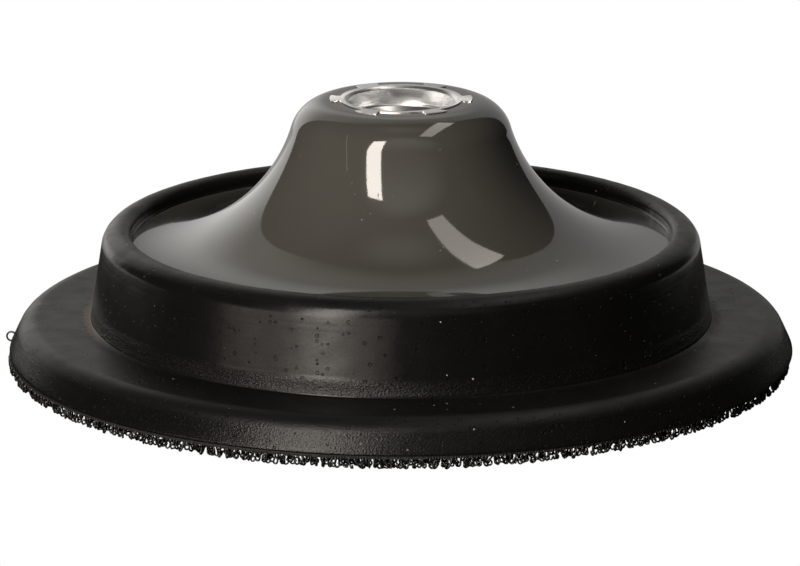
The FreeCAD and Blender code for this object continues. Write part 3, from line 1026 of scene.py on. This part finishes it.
def make_lights():
    """A tall light at the front left, a dim low one beside it, and a long one overhead."""
    s, up = STUDIO, LOOK_AT_HEIGHT
    front_left, low_left = (-0.555 * s, -s, 0.71 * s + up), (-0.52 * s, -0.85 * s, 0.05 * s)
    above = (0.37 * s, 0.06 * s, s + up)
    make_light("front_left", front_left, 0.35 * s, 1.30 * s, (0, 1, 0), 19, WARM)
    make_light("low_left", low_left, 1.45 * s, 0.14 * s, (0.52, 0.85, 0), 5.5, WARMER)
    overhead = make_light("overhead", above, 0.20 * s, 0.90 * s, (0, 0, -1), 3.6, WARM)
    overhead.visible_diffuse = False


def cleared_tree(owner):
    """The node tree of a new material or world, with no nodes in it."""
    owner.use_nodes = True
    owner.node_tree.nodes.clear()
    return owner.node_tree


def lit_or_seen(tree, lit, seen, output):
    """Put out one shader for the light that falls on the pad, and another for the camera."""
    to_camera = add(tree, "LightPath").outputs["Is Camera Ray"]
    both = add(tree, "MixShader", {0: to_camera, 1: lit.outputs[0], 2: seen.outputs[0]})
    add(tree, output, {"Surface": both.outputs[0]})


def glowing_panel(name, points, faces, strength_of):
    """A mesh that only shows in reflections, with a glow that a function of its place gives."""
    panel = new_object(name, points, faces)
    material = bpy.data.materials.new(name + "_glow")
    tree = cleared_tree(material)
    place = add(tree, "TexCoord").outputs["Object"]
    glow = add(tree, "Emission", {"Color": PANEL_COLOUR, "Strength": strength_of(tree, place)})
    add(tree, "OutputMaterial", {"Surface": glow.outputs["Emission"]})
    panel.data.materials.append(material)
    panel.visible_camera = False
    panel.visible_shadow = False
    panel.visible_diffuse = False


def pool(tree, place, centre, edge, core):
    """A round mask that rises from 0 at its edge to 1 at its core."""
    away = add(tree, "VectorMath", {0: place, 1: centre}, operation="DISTANCE").outputs["Value"]
    return threshold(tree, away, edge, core)


def make_backdrop():
    """The bright backdrop behind the pad, and the table under it, brighter on the left."""
    s, up = STUDIO, LOOK_AT_HEIGHT
    left, right, top, near, low = -0.92 * s, 0.70 * s, 2.9 * s + up, 0.09, 0.5 * MM
    all_over, corner_glow, side_glow, middle_glow = 0.47, 0.85, 0.12, 0.45
    points = [(left, near, low), (right, near, low), (right, s, low), (left, s, low)]
    points += [(left, s, 1.8 * s), (left + 0.22 * s, s, top), (right, s, top)]

    def strength(tree, place):
        parts = add(tree, "SeparateXYZ", {"Vector": place}).outputs
        below = threshold(tree, parts["Z"], 0.95 * s, 0.25 * s)
        on_left = threshold(tree, parts["X"], -0.05 * s, -0.32 * s)
        corner = times(tree, times(tree, below, on_left), corner_glow)
        sideways = times(tree, threshold(tree, parts["X"], 0.0, -0.30 * s), side_glow)
        spot = pool(tree, place, (0, s, 0.78 * s + up), 0.42 * s, 0.05 * s)
        total = plus(tree, plus(tree, corner, sideways), times(tree, spot, middle_glow))
        fade = threshold(tree, parts["Z"], top, 1.2 * s)
        return times(tree, plus(tree, total, all_over), fade)

    glowing_panel("backdrop", points, [(0, 1, 2, 3), (3, 2, 6, 5, 4)], strength)


def make_front_fill():
    """A faint, soft-edged glow in front of the pad, as a pale room gives."""
    s = STUDIO
    left, right, low, top, front = -1.4 * s, 1.5 * s, 0.0, 2.8 * s, -1.1 * s
    points = [(left, front, low), (right, front, low), (right, front, top), (left, front, top)]

    def strength(tree, place):
        return times(tree, pool(tree, place, (0.05 * s, front, 1.4 * s), 1.4 * s, 0.1 * s), 0.55)

    glowing_panel("front_fill", points, [(0, 1, 2, 3)], strength)


def square(half, height):
    """The corners of a level square about the spindle axis."""
    return [(-half, -half, height), (half, -half, height), (half, half, height), (-half, half, height)]


def make_ceiling():
    """A faint pool of light on the ceiling."""
    half, core = 0.62 * STUDIO, 0.1 * STUDIO

    def strength(tree, place):
        return times(tree, threshold(tree, axis_distance(tree, place), half, core), 0.28)

    glowing_panel("ceiling", square(half, 1.8 * STUDIO), [(0, 1, 2, 3)], strength)


def make_floor():
    """A floor that looks plain white, but reflects little light onto the pad."""
    floor = new_object("floor", square(FLOOR_HALF, 0), [(0, 1, 2, 3)])
    material = bpy.data.materials.new("pale_floor")
    tree = cleared_tree(material)
    matt = add(tree, "BsdfDiffuse", {"Color": FLOOR_GREY})
    pale = add(tree, "Emission", {"Color": WHITE, "Strength": 1.0})
    lit_or_seen(tree, matt, pale, "OutputMaterial")
    floor.data.materials.append(material)


def make_world():
    """A dim room, with a pale sky where the camera looks past the floor."""
    world = bpy.data.worlds.new("studio")
    tree = cleared_tree(world)
    room = add(tree, "Background", {"Color": ROOM_COLOUR, "Strength": ROOM_STRENGTH})
    sky = add(tree, "Background", {"Color": WHITE, "Strength": 1.0})
    lit_or_seen(tree, room, sky, "OutputWorld")
    bpy.context.scene.world = world
    bpy.context.scene.view_settings.view_transform = "Standard"


make_camera()
make_insert()
make_hub()
make_pad()
make_film()
make_weave()
make_hooks()
make_floor()
make_backdrop()
make_ceiling()
make_front_fill()
make_world()
make_lights()
